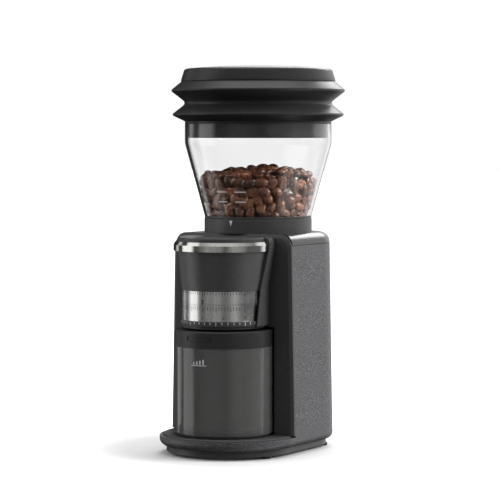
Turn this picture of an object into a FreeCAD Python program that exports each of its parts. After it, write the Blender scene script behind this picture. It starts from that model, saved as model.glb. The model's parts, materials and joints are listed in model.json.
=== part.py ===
import FreeCAD, Part
import math
import os

# Burr coffee grinder, millimetres, +Z up, the front faces -Y.
# The origin is on the table, under the middle of the whole object's box.

V = FreeCAD.Vector
UP = V(0, 0, 1)

# ---- driving dimensions -------------------------------------------------
lid_radius = 74.4
half_depth = 90.7
hopper_y = half_depth - lid_radius          # hopper and collar axis
burr_y = hopper_y - 57.9                    # head, burrs, dial and cup axis
panel_y = hopper_y - 45.1                   # front panel's outer face
panel_thickness = 3.5
panel_back_y = panel_y + panel_thickness
back_y = hopper_y + 58.0
rear_radius = 45.0
top_half_width = 56.7
foot_half_width = 60.2
wall = 2.5

skirt_z = 2.4
shell_z = 7.1
shell_foot_rounding = 5.5
plate_inset = 6.0
rim_z = 15.4
deck_z = 17.0
seam_z = 175.8
body_top_z = 185.2
shoulder_radius = 8.8
panel_corner = 11.5

# head on the front
head_floor_z = 107.4
grip_z = 109.8
dial_z = 113.9
dial_split_z = 127.8
dial_top_z = 138.9
cone_top_z = 171.8
chrome_top_z = 179.6
head_top_z = 183.0
dial_radius = 34.8
dial_inner = 32.8
window_radius = 36.3
grip_radius = 36.2
cone_low_radius = 36.0
cone_high_radius = 39.9
chrome_radius = 42.3
head_lid_radius = 38.4
cheek_low_radius = 38.2
cheek_high_radius = 43.6
cheek_inner_low = 37.3
cheek_inner_high = 37.7
head_front_slant = 8.0

# cup and its recess
cup_radius = 41.5
cup_wall = 2.0
cup_floor_z = 17.2
cup_rim_z = 99.0
cup_lid_low_z = 91.9
cup_lid_top_z = 105.8
recess_radius = 43.4
recess_wall = 2.2

# hopper and lid
collar_radius = 46.2
collar_inner = 41.0
collar_floor_z = 186.8
collar_top_z = 197.3
spigot_low_z = 187.2
seal_low_z = 191.4
gate_radius = 36.0
glass_low_radius = 46.0
glass_low_z = 199.2
glass_radius = 62.9
glass_bend_z = 261.3
glass_top_z = 278.0
glass_wall = 2.4
cap_radius = 66.4
cap_low_z = 314.1
cap_top_z = 327.6
ridge_upper = (74.4, 306.3)
ridge_valley = (61.4, 295.5)
ridge_lower = (73.3, 285.5)
bellows_foot_radius = 63.0
bellows_wall = 2.6

# feed hole through bean gate, spigot, collar floor and chute
feed_x = 24.0
feed_y = 8.0
feed_radius = 11.0

chute_bend = V(feed_x, feed_y, 156.0)
chute_mouth = V(6.0, burr_y + 12, 138.0)
chute_radius = 12.6

# drive
gear_module = 1.0
burr_teeth = 48
idler_teeth = 40
pinion_teeth = 16
gear_low_z = 168.6
gear_high_z = 175.6
train_angle = math.radians(109.4)
plate_z = 164.4
plate_top_z = 167.0
cover_low_z = 177.0
cover_high_z = 179.2
shaft_radius = 4.0
motor_radius = 21.0
motor_low_z = 84.0

# back wall fittings and cup sensor
inlet_half_width = 12.0
inlet_low_z = 20.0
inlet_high_z = 38.0
rocker_half_width = 6.6
rocker_half_height = 9.6
rocker_z = 62.0
sensor_z = 60.0
plunger_radius = 2.4

# burrs
burr_low_z = 112.0
burr_high_z = 127.0
burr_lift = 1.5
running_gap = 0.3


def pitch_radius(teeth):
    return gear_module * teeth / 2


def train_point(distance):
    return (distance * math.cos(train_angle), burr_y + distance * math.sin(train_angle))


idler_x, idler_y = train_point(pitch_radius(burr_teeth) + pitch_radius(idler_teeth))
motor_x, motor_y = train_point(
    pitch_radius(burr_teeth) + 2 * pitch_radius(idler_teeth) + pitch_radius(pinion_teeth)
)


# ---- helpers ------------------------------------------------------------
def cylinder(radius, low, high, x=0.0, y=0.0):
    return Part.makeCylinder(radius, high - low, V(x, y, low))


def tube(outer, inner, low, high, x=0.0, y=0.0):
    return cylinder(outer, low, high, x, y).cut(cylinder(inner, low - 1, high + 1, x, y))


def box(x0, x1, y0, y1, z0, z1):
    return Part.makeBox(x1 - x0, y1 - y0, z1 - z0, V(x0, y0, z0))


def turned(profile, x=0.0, y=0.0):
    """A closed (radius, height) outline turned about the vertical axis at x, y."""
    points = [V(r, 0, z) for r, z in profile]
    face = Part.Face(Part.makePolygon(points + [points[0]]))
    solid = face.revolve(V(0, 0, 0), UP, 360)
    solid.translate(V(x, y, 0))
    return solid


def chute_space():
    """Room that the slanted stretch of the bean chute needs, with a small gap."""
    return rod(chute_bend, chute_mouth, chute_radius + running_gap)


def rod(start, end, radius):
    direction = end - start
    return Part.makeCylinder(radius, direction.Length, start, direction)


def fuse(shapes):
    whole = shapes[0]
    for shape in shapes[1:]:
        whole = whole.fuse(shape)
    return whole.removeSplitter()


def cut(shape, tools):
    for tool in tools:
        shape = shape.cut(tool)
    return shape


def around(shape, count, x, y, start=0.0, span=360.0):
    """Copies of a shape, spread by angle about the vertical axis at x, y."""
    copies = []
    for i in range(count):
        copy = shape.copy()
        copy.rotate(V(x, y, 0), UP, start + i * span / count)
        copies.append(copy)
    return copies


def edges_at(shape, height):
    """Edges that lie wholly at one height."""
    found = []
    for edge in shape.Edges:
        if abs(edge.BoundBox.ZMin - height) < 0.01 and abs(edge.BoundBox.ZMax - height) < 0.01:
            found.append(edge)
    return found


def half_width(z):
    share = (z - shell_z) / (body_top_z - shell_z)
    return foot_half_width + (top_half_width - foot_half_width) * share


def body_wire(z, inset, front):
    """Plan of the body: straight sides and a back with two large rounded corners."""
    w = half_width(z) - inset
    r = rear_radius - inset
    back = back_y - inset
    d = r * math.sqrt(0.5)
    right = V(w - r, back - r, z)
    left = V(r - w, back - r, z)
    edges = [
        Part.LineSegment(V(-w, front, z), V(w, front, z)),
        Part.LineSegment(V(w, front, z), V(w, back - r, z)),
        Part.Arc(V(w, back - r, z), right + V(d, d, 0), V(w - r, back, z)),
        Part.LineSegment(V(w - r, back, z), V(r - w, back, z)),
        Part.Arc(V(r - w, back, z), left + V(-d, d, 0), V(-w, back - r, z)),
        Part.LineSegment(V(-w, back - r, z), V(-w, front, z)),
    ]
    return Part.Wire([edge.toShape() for edge in edges])


def lobe_wire(z, inset, back):
    """Plan of the platform in front of the body: a half round with straight sides."""
    w = half_width(z) - inset
    centre = foot_half_width - half_depth
    edges = [
        Part.LineSegment(V(w, back, z), V(-w, back, z)),
        Part.LineSegment(V(-w, back, z), V(-w, centre, z)),
        Part.Arc(V(-w, centre, z), V(0, centre - w, z), V(w, centre, z)),
        Part.LineSegment(V(w, centre, z), V(w, back, z)),
    ]
    return Part.Wire([edge.toShape() for edge in edges])


def body_block(low, high, inset, front):
    return Part.makeLoft([body_wire(low, inset, front), body_wire(high, inset, front)], True, True)


def lobe_block(low, high, inset, back):
    return Part.makeLoft([lobe_wire(low, inset, back), lobe_wire(high, inset, back)], True, True)


def rounded_block(low, high, inset, front, radius):
    """Upright block on the body's plan, rounded along its top except at the front."""
    block = Part.Face(body_wire(low, inset, front)).extrude(V(0, 0, high - low))
    top_edges = [e for e in edges_at(block, high) if e.BoundBox.YMax > front + 0.5]
    return block.makeFillet(radius, top_edges)


def save(name, shape):
    shape.exportStep("parts/" + name + ".step")


# ---- housing ------------------------------------------------------------
def body_shell():
    """Grey side and back wall, in one piece with the rim of the front platform."""
    overlap = 4.0
    outer = fuse([
        body_block(shell_z, seam_z, 0, panel_back_y),
        lobe_block(shell_z, rim_z, 0, panel_back_y + overlap),
    ])
    outer = outer.makeFillet(shell_foot_rounding, edges_at(outer, shell_z))
    lip_z = shell_z + 2.5
    lip = plate_inset - 0.2
    opening = fuse([
        body_block(shell_z - 1, lip_z, lip, panel_back_y),
        lobe_block(shell_z - 1, lip_z, lip, panel_back_y + overlap),
    ])
    inner_body = body_block(lip_z, seam_z + 1, wall, panel_back_y - 1)
    inner_lobe = lobe_block(lip_z, rim_z + 1, wall, panel_back_y + 2 * overlap)
    recess = cylinder(recess_radius + recess_wall + running_gap, lip_z, seam_z, 0, burr_y)
    inlet = box(-inlet_half_width, inlet_half_width, back_y - 6, back_y + 1, inlet_low_z, inlet_high_z)
    rocker = box(
        -rocker_half_width - 1.6, rocker_half_width + 1.6, back_y - 6, back_y + 1,
        rocker_z - rocker_half_height - 1.6, rocker_z + rocker_half_height + 1.6,
    )
    return cut(outer, [opening, inner_body, inner_lobe, recess, inlet, rocker] + vent_slots())


def vent_slots():
    """Cooling slots low in the back wall."""
    slots = []
    for row in range(5):
        for side in (-1, 1):
            x = side * 14.0
            z = 96.0 + row * 7.0
            slots.append(box(x - 10, x + 10, back_y - 5, back_y + 1, z, z + 2.6))
    return slots


def top_cover():
    """Rounded black shoulder over the body, open in the middle for the hopper collar."""
    low = seam_z + 0.4
    outer = rounded_block(low, body_top_z, 0, panel_back_y, shoulder_radius)
    inner = rounded_block(low - 1, body_top_z - wall, wall, panel_back_y - 1, shoulder_radius - wall)
    ledge = body_block(low, low + 2, 1.0, panel_back_y)
    spigot = body_block(seam_z - 4, low + 2, wall + 0.2, panel_back_y)
    spigot = fuse([ledge, spigot]).cut(body_block(seam_z - 5, low + 3, wall + 2.0, panel_back_y - 1))
    feed = cylinder(feed_radius + 1.5, body_top_z - 8, body_top_z + 1, feed_x, feed_y)
    return fuse([outer.cut(inner), spigot]).cut(feed)


def panel_outline(inset, y):
    """Front outline of the panel: flared sides, rounded top corners, flat foot on the deck."""
    top = body_top_z - inset
    foot = deck_z
    wt = half_width(body_top_z) - inset
    wf = half_width(foot) - inset
    r = panel_corner - inset
    ws = half_width(body_top_z - panel_corner) - inset
    d = r * (1 - math.sqrt(0.5))
    edges = [
        Part.LineSegment(V(-wf, y, foot), V(wf, y, foot)),
        Part.LineSegment(V(wf, y, foot), V(ws, y, top - r)),
        Part.Arc(V(ws, y, top - r), V(wt - d, y, top - d), V(wt - r, y, top)),
        Part.LineSegment(V(wt - r, y, top), V(r - wt, y, top)),
        Part.Arc(V(r - wt, y, top), V(d - wt, y, top - d), V(-ws, y, top - r)),
        Part.LineSegment(V(-ws, y, top - r), V(-wf, y, foot)),
    ]
    return Part.Wire([edge.toShape() for edge in edges])


def front_panel():
    """Dark front panel with a bevelled border, open for the head and the cup recess."""
    bevel = 2.6
    bevel_depth = 1.4
    slab = Part.Face(panel_outline(0, panel_y + bevel_depth))
    slab = slab.extrude(V(0, panel_thickness - bevel_depth, 0))
    crown = Part.makeLoft(
        [panel_outline(bevel, panel_y), panel_outline(0, panel_y + bevel_depth)], True, True
    )
    recess = cylinder(recess_radius, deck_z - 1, head_floor_z + 0.2, 0, burr_y)
    head = fuse([
        cylinder(grip_radius + 0.6, head_floor_z, dial_top_z + 1, 0, burr_y),
        cylinder(dial_inner + 1.2, head_floor_z, cover_high_z, 0, burr_y),
    ])
    gear_way = box(-30, 30, panel_y - 1, panel_back_y + 1, plate_z - 1, cover_high_z)
    return cut(fuse([slab, crown]), [recess, head, gear_way])


def recess_liner():
    """Half-round back wall and ceiling of the cup bay."""
    outer = recess_radius + recess_wall
    wall_ring = tube(outer, recess_radius, deck_z, head_floor_z + 2, 0, burr_y)
    ceiling = tube(outer, 24.0, head_floor_z, head_floor_z + 2, 0, burr_y)
    behind = box(-60, 60, panel_back_y, 60, 0, 200)
    sensor_hole = rod(V(0, burr_y + 30, sensor_z), V(0, burr_y + 60, sensor_z), plunger_radius + 0.1)
    return fuse([wall_ring, ceiling]).common(behind).cut(sensor_hole)


def platform_deck():
    """Dark top of the platform, which reaches back under the cup bay."""
    low = rim_z - 3.0
    lobe = lobe_block(low, deck_z, wall + running_gap, panel_back_y)
    front_edges = [e for e in edges_at(lobe, deck_z) if e.BoundBox.YMin < panel_back_y - 1]
    lobe = lobe.makeFillet(1.2, front_edges)
    bay = cylinder(recess_radius, low, deck_z, 0, burr_y)
    seat_ring = tube(cup_radius + 0.5, cup_radius - 4.5, deck_z - 0.6, deck_z + 1, 0, burr_y)
    return fuse([lobe, bay]).cut(seat_ring)


def base_plate():
    """Black plate under the whole body, set in from its edge."""
    rear = body_block(skirt_z, shell_z + 2, plate_inset, panel_back_y)
    lobe = lobe_block(skirt_z, shell_z + 2, plate_inset, panel_back_y + 4)
    return fuse([rear, lobe])


foot_places = [(-44, -50), (44, -50), (-45, 47), (45, 47)]


def rubber_feet():
    feet = []
    for x, y in foot_places:
        foot = cylinder(5.5, 0, skirt_z, x, y)
        feet.append(foot.makeChamfer(0.5, edges_at(foot, 0)))
    return Part.makeCompound(feet)


def base_screws():
    """Screws through the plate into the shell, beside the feet."""
    screws = []
    for x, y in [(-44, -18), (44, -18), (-44, 30), (44, 30)]:
        head = cylinder(2.9, skirt_z - 0.9, skirt_z, x, y)
        socket = cylinder(1.2, skirt_z - 1.2, skirt_z - 0.4, x, y)
        screws.append(head.cut(socket))
    return Part.makeCompound(screws)


def hopper_collar():
    """Black collar that the hopper plugs into."""
    ring = tube(collar_radius, collar_inner, body_top_z, collar_top_z, 0, hopper_y)
    return ring.makeFillet(0.8, edges_at(ring, collar_top_z))


def collar_floor():
    """Plate that closes the collar round the feed hole."""
    floor = cylinder(collar_inner, body_top_z, collar_floor_z, 0, hopper_y)
    return floor.cut(cylinder(feed_radius, body_top_z - 1, collar_floor_z + 1, feed_x, feed_y))


def lock_mark():
    """Small raised triangle on the front of the collar, pointing down."""
    half = 1.5
    high = collar_top_z - 1.2
    points = [V(-half, 0, high), V(half, 0, high), V(0, 0, high - 4.8)]
    face = Part.Face(Part.makePolygon(points + [points[0]]))
    mark = face.extrude(V(0, 3, 0))
    mark.translate(V(0, hopper_y - collar_radius - 0.3, 0))
    return mark.cut(cylinder(collar_radius, 0, 300, 0, hopper_y))


# ---- head ---------------------------------------------------------------
def front_of(y):
    return box(-80, 80, y - 200, y, 0, 300)


def head_front(gap):
    """Everything in front of the slanted plane where the cone cover and chrome band end."""
    front = front_of(burr_y + gap)
    front.rotate(V(0, burr_y + gap, cone_top_z), V(1, 0, 0), -head_front_slant)
    return front


def head_housing():
    """Dark drum behind the cone cover and dial, with the head's thin top."""
    top = head_top_z
    round_edge = 4.0
    d = round_edge * (1 - math.sqrt(0.5))
    cheek_low_z = head_floor_z + 2.2
    outer = [
        (0, top), (cheek_high_radius - round_edge, top),
        (cheek_high_radius - d, top - d), (cheek_high_radius, top - round_edge),
        (cheek_high_radius, cone_top_z + 2), (cheek_low_radius + 0.4, dial_top_z + 3),
        (cheek_low_radius, cheek_low_z),
    ]
    inner = [
        (cheek_inner_low, cheek_low_z), (cheek_inner_low, dial_top_z + 0.4),
        (cone_low_radius + 0.2, dial_top_z + 1.6), (cheek_inner_high, cone_top_z),
        (cheek_inner_high, top - 2.2), (0, top - 2.2),
    ]
    drum = turned(outer + inner, 0, burr_y)
    drum = drum.cut(head_front(0.1))
    drum = drum.cut(box(-80, 80, panel_y, 200, 0, 300))
    low_cheeks = turned(
        [(cheek_inner_low, cheek_low_z), (cheek_low_radius, cheek_low_z),
         (cheek_low_radius + 0.4, dial_top_z + 0.4), (cheek_inner_low, dial_top_z + 0.4)],
        0, burr_y,
    )
    low_cheeks = low_cheeks.common(box(-80, 80, burr_y - 5, burr_y + 3, 0, 300))
    lid = cylinder(head_lid_radius, chrome_top_z + 0.1, top, 0, burr_y)
    lid = lid.makeFillet(1.0, edges_at(lid, top))
    lid = lid.cut(cylinder(head_lid_radius - 2.4, chrome_top_z - 1, top - 2.2, 0, burr_y))
    lid = lid.common(front_of(burr_y + 3))
    return fuse([drum, low_cheeks, lid])


def chrome_trim():
    """Bright band round the front of the head, with a steep bevel along its top."""
    inner = head_lid_radius - 2.0
    profile = [
        (inner, cone_top_z), (chrome_radius, cone_top_z), (chrome_radius, chrome_top_z - 2.8),
        (chrome_radius - 1.6, chrome_top_z), (inner, chrome_top_z),
    ]
    return turned(profile, 0, burr_y).common(head_front(-0.1))


def cone_cover():
    """Satin tapered cover between the chrome band and the scale."""
    thick = 2.2
    low = dial_top_z + 0.2
    high = cone_top_z - 0.2
    profile = [
        (cone_low_radius, low), (cone_high_radius, high),
        (cone_high_radius - thick, high), (cone_low_radius - thick, low),
    ]
    return turned(profile, 0, burr_y).common(head_front(-0.1))


def dial_window():
    """Clear curved cover over the scale."""
    ring = tube(window_radius, dial_radius + running_gap, dial_z + 0.3, dial_top_z, 0, burr_y)
    return ring.common(front_of(burr_y - 5.2))


def upper_scale():
    """Fixed metal ring that carries the index."""
    ring = tube(dial_radius, dial_inner, dial_split_z + running_gap, dial_top_z, 0, burr_y)
    return ring.cut(chute_space())


def dial_scale():
    """Turning metal ring with the scale."""
    return tube(dial_radius, dial_inner, dial_z, dial_split_z, 0, burr_y)


def dial_grip():
    """Black ring below the window, which the fingers turn."""
    ring = tube(grip_radius, dial_inner, grip_z, dial_z, 0, burr_y)
    notches = around(
        box(-0.35, 0.35, burr_y - grip_radius - 1, burr_y - grip_radius + 0.35, grip_z - 1, grip_z + 1.4),
        45, 0, burr_y,
    )
    return cut(ring, notches)


def head_floor():
    """Plate that closes the head under the grip ring, round the outlet."""
    plate = tube(dial_inner + 1.6, 22.5, head_floor_z, head_floor_z + 2, 0, burr_y)
    return plate.common(front_of(panel_back_y))


# ---- grinding mechanism -------------------------------------------------
def inner_burr():
    """Cone burr: six deep feed grooves and fine teeth round its wide end."""
    low = burr_low_z + 0.6
    profile = [
        (shaft_radius, low), (20.4, low), (20.4, low + 2.5), (17.4, low + 8),
        (11.5, burr_high_z + 5), (shaft_radius, burr_high_z + 5),
    ]
    cone = turned(profile, 0, burr_y)
    deep = Part.makeCylinder(2.6, 30, V(10.5, burr_y, burr_high_z + 6), V(0.62, 0.25, -1))
    fine = Part.makeCylinder(0.9, 12, V(21.0, burr_y, low - 1), V(-0.32, 0.2, 1))
    return cut(cone, around(deep, 6, 0, burr_y) + around(fine, 24, 0, burr_y, 7.5))


def outer_burr():
    """Ring burr with a toothed tapered bore."""
    profile = [
        (26.0, burr_low_z), (26.0, burr_high_z - 0.5), (20.6, burr_high_z - 0.5),
        (21.2, burr_low_z + 3.3), (21.2, burr_low_z),
    ]
    ring = turned(profile, 0, burr_y)
    tooth_gap = Part.makeCylinder(0.8, 20, V(21.1, burr_y, burr_low_z - 1), V(0, 0.15, 1))
    return cut(ring, around(tooth_gap, 32, 0, burr_y))


def burr_carrier():
    """Threaded sleeve that lifts the ring burr as the dial turns, with a coarse outer thread."""
    body = turned([
        (26.0, burr_low_z - 1.2), (dial_inner - 0.4, burr_low_z - 1.2), (dial_inner - 0.4, burr_high_z),
        (22.0, burr_high_z), (22.0, burr_high_z - 0.5), (26.0, burr_high_z - 0.5),
    ], 0, burr_y)
    grooves = []
    for i in range(5):
        z = burr_low_z + 1.5 + 2.6 * i
        grooves.append(tube(dial_inner, dial_inner - 1.0, z, z + 0.9, 0, burr_y))
    return cut(body, grooves)


def carrier_spring():
    """Wave spring that takes up the play of the carrier's thread, drawn pressed flat."""
    return tube(31.0, 27.5, burr_high_z + burr_lift + 0.1, burr_high_z + burr_lift + 0.7, 0, burr_y)


def burr_shaft():
    shaft = cylinder(shaft_radius, burr_low_z - 2.6, cover_high_z - 0.4, 0, burr_y)
    nut = cylinder(6.5, burr_low_z - 2.6, burr_low_z + 0.6, 0, burr_y)
    return fuse([shaft, nut])


def feed_throat():
    """Funnel that brings the beans from the chute down round the burr shaft."""
    low = burr_high_z + burr_lift + 0.8
    shell = tube(25.0, 21.6, low, plate_z - 0.2, 0, burr_y)
    flange = tube(32.0, 22.0, low, low + 2.0, 0, burr_y)
    return fuse([shell, flange]).cut(chute_space())


def bean_chute():
    """Tube from the feed hole under the hopper to the throat above the burrs."""
    outer = fuse([
        cylinder(chute_radius, chute_bend.z, body_top_z - wall - 0.2, feed_x, feed_y),
        Part.makeSphere(chute_radius, chute_bend),
        rod(chute_bend, chute_mouth, chute_radius),
    ])
    inner = fuse([
        cylinder(feed_radius, chute_bend.z, body_top_z + 1, feed_x, feed_y),
        Part.makeSphere(feed_radius, chute_bend),
        rod(chute_bend, chute_mouth + (chute_mouth - chute_bend) * 0.2, feed_radius),
    ])
    throat_space = cylinder(25.3, 0, 300, 0, burr_y)
    return cut(outer, [inner, throat_space])


def outlet_spout():
    """Short funnel under the burrs that drops the grounds into the cup."""
    return turned([
        (25.4, burr_low_z - 1.6), (19.6, head_floor_z + 1.4), (19.6, cup_lid_top_z + 0.8),
        (18.0, cup_lid_top_z + 0.8), (18.0, head_floor_z + 1.2), (23.8, burr_low_z - 1.6),
    ], 0, burr_y)


# ---- drive --------------------------------------------------------------
def involute(angle):
    return math.tan(angle) - angle


def gear(teeth, phase, x, y, low, high, bore):
    """Spur gear with involute flanks; phase is the direction of one tooth, in degrees."""
    pressure = math.radians(20)
    backlash = 0.12
    pitch = pitch_radius(teeth)
    base = pitch * math.cos(pressure)
    tip = pitch + 0.9 * gear_module
    root = pitch - 1.2 * gear_module
    half_pitch = math.pi / (2 * teeth) - backlash / (2 * pitch)
    steps = 4
    flank = [(root, half_pitch + involute(pressure))]
    first = max(base, root)
    for i in range(steps + 1):
        radius = first + (tip - first) * i / steps
        roll = math.acos(min(1.0, base / radius))
        flank.append((radius, half_pitch + involute(pressure) - involute(roll)))
    points = []
    for tooth in range(teeth):
        middle = math.radians(phase) + 2 * math.pi * tooth / teeth
        for radius, half in flank:
            points.append(V(radius * math.cos(middle - half), radius * math.sin(middle - half), low))
        for radius, half in reversed(flank):
            points.append(V(radius * math.cos(middle + half), radius * math.sin(middle + half), low))
    face = Part.Face(Part.makePolygon(points + [points[0]]))
    solid = face.extrude(V(0, 0, high - low))
    solid.translate(V(x, y, 0))
    return solid.cut(cylinder(bore, low - 1, high + 1, x, y))


def meshed_phase(teeth, other_teeth, other_phase, direction):
    """Phase of a gear that meshes with another one lying at this direction from it, in degrees."""
    other_pitch = 360.0 / other_teeth
    own_pitch = 360.0 / teeth
    other_share = (direction - other_phase) / other_pitch
    return direction + 180.0 - (0.5 - other_share) * own_pitch


train_degrees = math.degrees(train_angle)
idler_phase = meshed_phase(idler_teeth, burr_teeth, 0.0, train_degrees)
pinion_phase = meshed_phase(pinion_teeth, idler_teeth, idler_phase, train_degrees)


def burr_gear():
    solid = gear(burr_teeth, 0.0, 0, burr_y, gear_low_z, gear_high_z, shaft_radius)
    web = tube(pitch_radius(burr_teeth) - 4, 9.0, gear_high_z - 2.2, gear_high_z + 1, 0, burr_y)
    return solid.cut(web)


def idler_gear():
    solid = gear(idler_teeth, idler_phase, idler_x, idler_y, gear_low_z, gear_high_z, 3.04)
    web = tube(pitch_radius(idler_teeth) - 4, 7.0, gear_high_z - 2.2, gear_high_z + 1, idler_x, idler_y)
    return solid.cut(web)


def idler_pin():
    return cylinder(3.0, plate_top_z, cover_low_z, idler_x, idler_y)


def motor_pinion():
    return gear(pinion_teeth, pinion_phase, motor_x, motor_y, gear_low_z, gear_high_z, 3.0)


def train_plate(low, high, margin):
    """Plate whose outline follows the three gears."""
    spots = [
        (0.0, burr_y, 25.5 + margin), (idler_x, idler_y, 21.5 + margin), (motor_x, motor_y, 19.0 + margin),
    ]
    plate = fuse([cylinder(radius, low, high, x, y) for x, y, radius in spots])
    return plate.common(body_block(low - 1, high + 1, wall + 0.5, -200))


def gearbox_base():
    plate = train_plate(plate_z, plate_top_z, 3.0)
    chute = cylinder(13.0, 0, 300, feed_x, feed_y)
    shaft_hole = cylinder(8.0, 0, 300, 0, burr_y)
    motor_hole = cylinder(6.0, 0, 300, motor_x, motor_y)
    return cut(plate, [chute, shaft_hole, motor_hole])


def gearbox_cover():
    """Cover over the gears, standing on its own rim."""
    plate = train_plate(cover_low_z, cover_high_z, 3.0)
    rim = train_plate(plate_top_z, cover_low_z, 3.0).cut(train_plate(plate_top_z - 1, cover_low_z + 1, 1.2))
    chute = cylinder(13.0, 0, 300, feed_x, feed_y)
    shaft_hole = cylinder(shaft_radius + 0.05, cover_low_z - 1, cover_high_z + 1, 0, burr_y)
    return cut(fuse([plate, rim]), [chute, shaft_hole])


def bearing(x, y, inner, outer, low, high):
    """Ball bearing drawn as one ring with grooves for its shields."""
    ring = tube(outer, inner, low, high, x, y)
    middle = (inner + outer) / 2
    groove_low = tube(middle + 1, middle - 1, low - 1, low + 0.5, x, y)
    groove_high = tube(middle + 1, middle - 1, high - 0.5, high + 1, x, y)
    return cut(ring, [groove_low, groove_high])


def lower_bearing():
    return bearing(0, burr_y, shaft_radius + 0.05, 8.0, plate_z, plate_top_z)


def motor_can():
    can = cylinder(motor_radius, motor_low_z, plate_z, motor_x, motor_y)
    can = can.makeFillet(2.0, edges_at(can, motor_low_z))
    bush = cylinder(6.0, plate_z, plate_top_z, motor_x, motor_y)
    tail = cylinder(6.0, motor_low_z - 3, motor_low_z, motor_x, motor_y)
    slots = around(
        box(motor_x + motor_radius - 1.2, motor_x + motor_radius + 1, motor_y - 3, motor_y + 3, 96, 108),
        6, motor_x, motor_y,
    )
    shaft_bore = cylinder(3.05, motor_low_z - 4, plate_top_z + 1, motor_x, motor_y)
    return cut(fuse([can, bush, tail]), slots + [shaft_bore])


def motor_shaft():
    return cylinder(3.0, motor_low_z - 6, cover_low_z - 0.6, motor_x, motor_y)


def motor_screws():
    screws = []
    for side in (-1, 1):
        screws.append(cylinder(2.5, plate_top_z, plate_top_z + 1.2, motor_x + side * 12.0, motor_y))
    return Part.makeCompound(screws)


def cover_screws():
    screws = []
    for x, y in [(-18.0, burr_y - 16), (18.0, burr_y - 16), (idler_x - 15, idler_y), (motor_x, motor_y + 14)]:
        head = cylinder(2.4, cover_high_z, cover_high_z + 1.0, x, y)
        cross = box(x - 1.5, x + 1.5, y - 0.3, y + 0.3, cover_high_z + 0.5, cover_high_z + 2)
        screws.append(head.cut(cross))
    return Part.makeCompound(screws)


# ---- electrics ----------------------------------------------------------
def control_board():
    """Circuit board on the floor behind the cup bay, with its larger components."""
    board = box(-34, 34, 12, 58, 14, 15.6)
    parts = [
        cylinder(8.0, 15.6, 40.0, -20, 34),
        box(-2, 16, 24, 44, 15.6, 32.0),
        box(22, 31, 18, 30, 15.6, 28.0),
    ]
    posts = [cylinder(3.0, shell_z + 2, 14, x, y) for x in (-29, 29) for y in (16, 54)]
    return fuse([board] + parts + posts)


def power_inlet():
    """Two-pin appliance inlet in the back wall; the lead is separate."""
    plate = box(
        -inlet_half_width + 0.2, inlet_half_width - 0.2, back_y - 16, back_y - 0.4,
        inlet_low_z + 0.2, inlet_high_z - 0.2,
    )
    middle_z = (inlet_low_z + inlet_high_z) / 2
    socket = fuse([
        rod(V(-3.6, back_y - 12, middle_z), V(-3.6, back_y + 2, middle_z), 4.4),
        rod(V(3.6, back_y - 12, middle_z), V(3.6, back_y + 2, middle_z), 4.4),
    ])
    pins = [rod(V(x, back_y - 12, middle_z), V(x, back_y - 3, middle_z), 1.2) for x in (-4.3, 4.3)]
    return fuse([plate.cut(socket)] + pins)


def switch_frame():
    """Frame of the power switch in the back wall."""
    outer = box(
        -rocker_half_width - 1.5, rocker_half_width + 1.5, back_y - 13, back_y,
        rocker_z - rocker_half_height - 1.5, rocker_z + rocker_half_height + 1.5,
    )
    hole = box(
        -rocker_half_width - 0.3, rocker_half_width + 0.3, back_y - 11, back_y + 1,
        rocker_z - rocker_half_height - 0.3, rocker_z + rocker_half_height + 0.3,
    )
    return outer.cut(hole)


def power_rocker():
    """Rocker that tips about a level axis inside its frame."""
    axis = V(0, back_y - 4.0, rocker_z)
    half = rocker_half_height - 0.6
    points = [
        V(0, axis.y - 2.5, rocker_z - 3), V(0, axis.y + 3.4, rocker_z - half),
        V(0, axis.y + 2.2, rocker_z), V(0, axis.y + 3.4, rocker_z + half), V(0, axis.y - 2.5, rocker_z + 3),
    ]
    face = Part.Face(Part.makePolygon(points + [points[0]]))
    solid = face.extrude(V(2 * rocker_half_width, 0, 0))
    solid.translate(V(-rocker_half_width, 0, 0))
    return solid


def cup_sensor():
    """Switch body behind the bay wall, bored for its plunger."""
    near = burr_y + recess_radius + recess_wall + 0.4
    body = box(-8, 8, near, near + 10, sensor_z - 6, sensor_z + 6)
    bore = rod(V(0, near - 1, sensor_z), V(0, near + 8, sensor_z), plunger_radius + 0.1)
    return body.cut(bore)


def cup_plunger():
    """Plunger that the cup presses when it stands home."""
    tip_y = burr_y + cup_radius + 0.6
    pin = rod(V(0, tip_y, sensor_z), V(0, tip_y + 8.0, sensor_z), plunger_radius)
    tip_edges = [e for e in pin.Edges if e.BoundBox.YMax < tip_y + 0.01]
    return pin.makeFillet(0.7, tip_edges)


# ---- grounds cup --------------------------------------------------------
def cup_jar():
    """Smoked clear cup with rounded foot and thick floor."""
    outer = cylinder(cup_radius, cup_floor_z, cup_rim_z, 0, burr_y)
    outer = outer.makeFillet(3.0, edges_at(outer, cup_floor_z))
    shoulder = tube(cup_radius + 1, cup_radius - 1.4, cup_lid_low_z, cup_rim_z + 1, 0, burr_y)
    inner = cylinder(cup_radius - cup_wall - 0.6, cup_floor_z + 4.5, cup_rim_z + 1, 0, burr_y)
    inner = inner.makeFillet(4.0, edges_at(inner, cup_floor_z + 4.5))
    return cut(outer, [shoulder, inner])


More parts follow.
